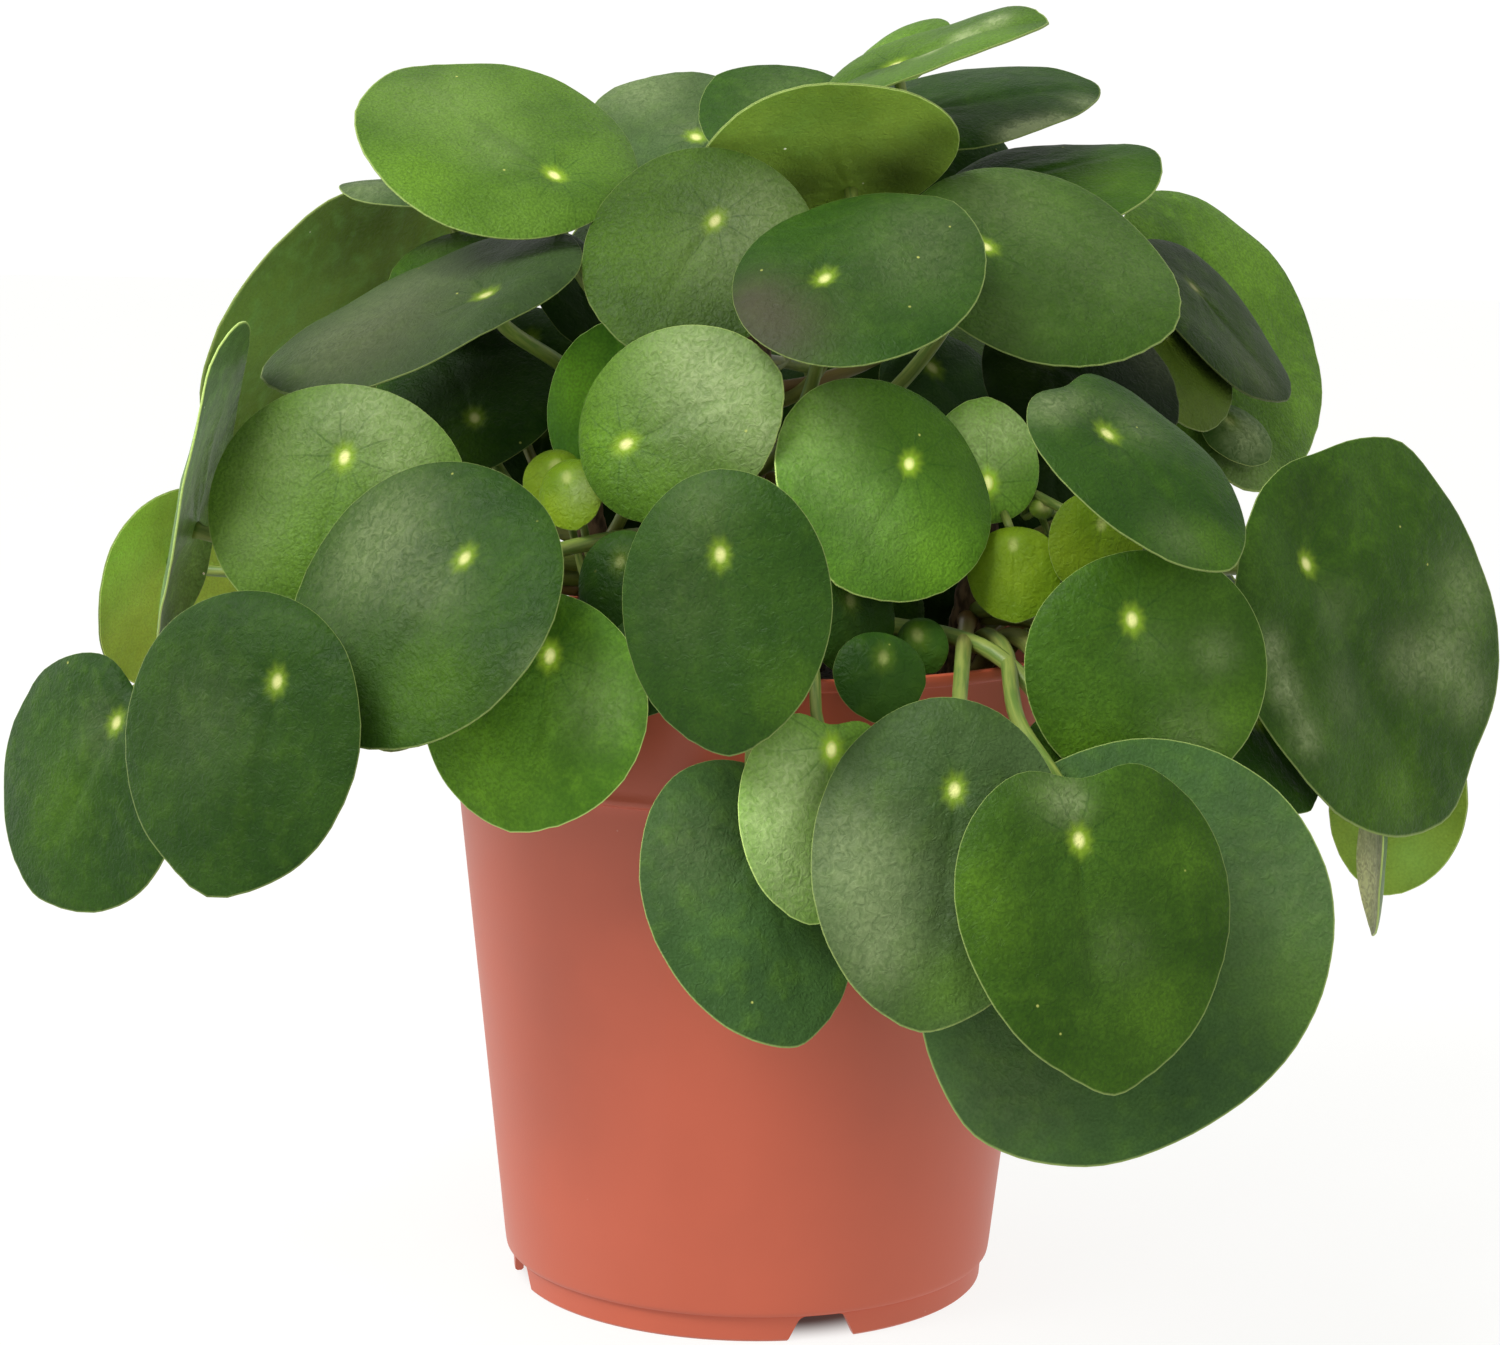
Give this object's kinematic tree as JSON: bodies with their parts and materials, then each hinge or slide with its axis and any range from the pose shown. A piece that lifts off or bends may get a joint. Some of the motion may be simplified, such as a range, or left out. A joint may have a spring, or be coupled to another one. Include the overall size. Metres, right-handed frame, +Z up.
{
  "type": "potted chinese money plant",
  "caption": "Bushy potted house plant with round glossy leaves on thin stalks, three woody stems and soil, in a tapered plastic nursery pot.",
  "frame": {"origin": "on the ground, at the middle of the pot's foot ring, which is also the middle of the plant's box within a few millimetres", "axes": "+Z up, -Y towards the front of the plant, +X to its right as seen from the front; the plant is widest along X"},
  "size_m": [0.347, 0.2675, 0.3024],
  "materials": {
    "pot_plastic": "satin injection-moulded polypropylene, terracotta colour with fine specks",
    "potting_soil": "matte, crumbly dark peat soil; fabric stands in for soil",
    "stem_bark": "matte brown woody stem with ring-shaped leaf scars",
    "leaf_mid_green": "waxy fresh green leaf with a soft gloss; leather stands in for leaf",
    "leaf_dark_green": "waxy dark green leaf with a soft gloss",
    "leaf_blue_green": "waxy deep blue-green leaf, nearly matte",
    "leaf_light_green": "waxy light green leaf with a wet-looking gloss",
    "leaf_grey_green": "waxy grey-green leaf with a pale sheen",
    "leaf_underside_olive": "matte olive underside with small pale dots",
    "young_leaf": "glossy yellow-green young leaf"
  },
  "bodies": {
    "root": {"pot": "pot_plastic", "soil": "potting_soil", "stem_main": "stem_bark", "stem_left": "stem_bark", "stem_right": "stem_bark", "leaf_top_left": "leaf_light_green", "leaf_top_back_left": "leaf_grey_green", "leaf_top_back_dark": "leaf_dark_green", "leaf_top_underside": "leaf_underside_olive", "leaf_top_back_bright": "leaf_light_green", "leaf_top_right_tip": "leaf_light_green", "leaf_top_right_gloss": "leaf_dark_green", "leaf_top_right_dark": "leaf_dark_green", "leaf_upper_right": "leaf_mid_green", "leaf_centre_dark": "leaf_dark_green", "leaf_centre_top": "leaf_light_green", "leaf_centre_pale": "leaf_light_green", "leaf_behind_pale": "leaf_dark_green", "leaf_centre_right": "leaf_mid_green", "leaf_shade_centre": "leaf_blue_green", "leaf_left_oblique": "leaf_grey_green", "leaf_left_shade": "leaf_dark_green", "leaf_left_back_under": "leaf_underside_olive", "leaf_left_behind": "leaf_mid_green", "leaf_left_edge_on": "leaf_grey_green", "leaf_left_pale": "leaf_light_green", "leaf_left_front": "leaf_dark_green", "leaf_left_upright": "leaf_grey_green", "leaf_far_left": "leaf_dark_green", "leaf_far_left_front": "leaf_dark_green", "leaf_far_left_under": "leaf_underside_olive", "leaf_front_left_low": "leaf_mid_green", "leaf_front_centre": "leaf_dark_green", "leaf_front_low_left": "leaf_blue_green", "leaf_front_notched": "leaf_light_green", "leaf_front_grey": "leaf_grey_green", "leaf_front_heart": "leaf_mid_green", "leaf_front_largest": "leaf_blue_green", "leaf_right_mid": "leaf_mid_green", "leaf_right_notched": "leaf_dark_green", "leaf_far_right": "leaf_mid_green", "leaf_far_right_under": "leaf_underside_olive", "leaf_right_hanging": "leaf_grey_green", "leaf_right_low_dark": "leaf_dark_green", "leaf_right_back_big": "leaf_light_green", "leaf_right_back_dark": "leaf_dark_green", "leaf_right_back_olive": "leaf_underside_olive", "leaf_right_shade": "leaf_dark_green", "leaf_rear_low_left": "leaf_mid_green", "leaf_rear_low": "leaf_dark_green", "leaf_rear_low_right": "leaf_mid_green", "leaf_rear_far_right": "leaf_dark_green", "leaf_rear_side_right": "leaf_mid_green", "leaf_rear_side_left": "leaf_mid_green", "leaf_rear_mid": "leaf_mid_green", "leaf_rear_mid_right": "leaf_light_green", "leaf_rear_top": "leaf_mid_green", "shoot_front": "young_leaf", "crown_right": "young_leaf", "shoot_left": "young_leaf"}
  },
  "joints": []
}
